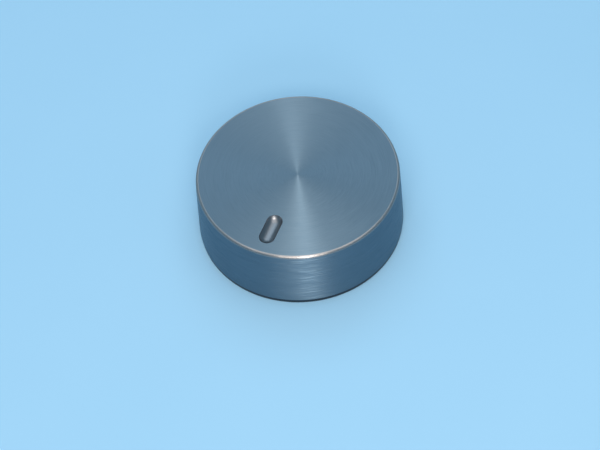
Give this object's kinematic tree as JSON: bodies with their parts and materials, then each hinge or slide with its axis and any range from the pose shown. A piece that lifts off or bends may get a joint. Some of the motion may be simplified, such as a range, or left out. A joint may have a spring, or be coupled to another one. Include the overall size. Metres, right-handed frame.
{
  "type": "appliance control knob",
  "caption": "Round flat-topped control knob: turned metal cap with a milled pointer, over a ribbed plastic insert whose D-shaped socket grips a 6 mm shaft.",
  "frame": {"origin": "centre of the foot of the knob, on the shaft's axis", "axes": "+Z along the shaft's axis towards the face; the pointer lies towards -Y"},
  "size_m": [0.045, 0.045, 0.016],
  "materials": {
    "cap": "fine circular turning marks on the face, brushed around the skirt",
    "insert": "black, moulded, finely textured",
    "spring": "rolled spring steel strip"
  },
  "bodies": {
    "root": {"cap": "cap", "insert": "insert", "shaft_spring": "spring"}
  },
  "joints": []
}
